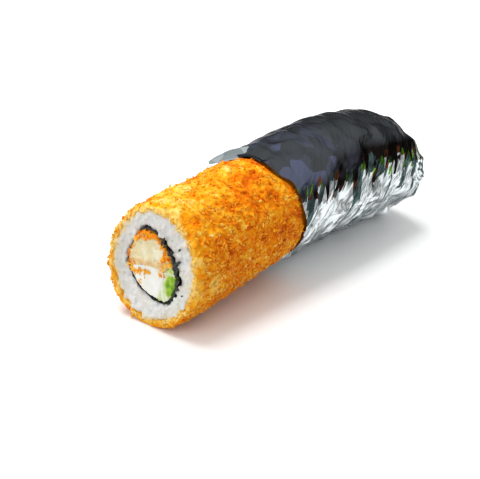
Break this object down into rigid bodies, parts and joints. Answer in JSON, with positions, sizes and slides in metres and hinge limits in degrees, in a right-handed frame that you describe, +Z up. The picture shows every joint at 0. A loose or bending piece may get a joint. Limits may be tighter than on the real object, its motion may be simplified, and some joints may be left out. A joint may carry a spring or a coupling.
{
  "type": "breaded sushi hand roll in foil",
  "caption": "Breaded sushi roll lying on its side, open face showing rice, seaweed and filling, its rear half wrapped in crinkled aluminium foil folded shut.",
  "frame": {"origin": "middle of the underside, on the table", "axes": "+Y along the roll towards the folded foil end, the open face looks towards -Y, +Z up"},
  "size_m": [0.0554, 0.1711, 0.058],
  "materials": {
    "crust": "golden fried crumb, rough, stands in for food",
    "rice": "moist cooked rice, stands in for food",
    "nori": "dark seaweed, slightly glossy, stands in for food",
    "chicken": "cooked breaded meat, stands in for food",
    "cheese": "smooth cream cheese, stands in for food",
    "onion": "fresh green onion, stands in for food",
    "foil": "bright crinkled household foil"
  },
  "bodies": {
    "root": {"panko_crust": "crust", "rice_layer": "rice", "nori_sheet": "nori", "breaded_chicken": "chicken", "cream_cheese": "cheese", "spring_onion": "onion", "foil_wrap": "foil"}
  },
  "joints": []
}
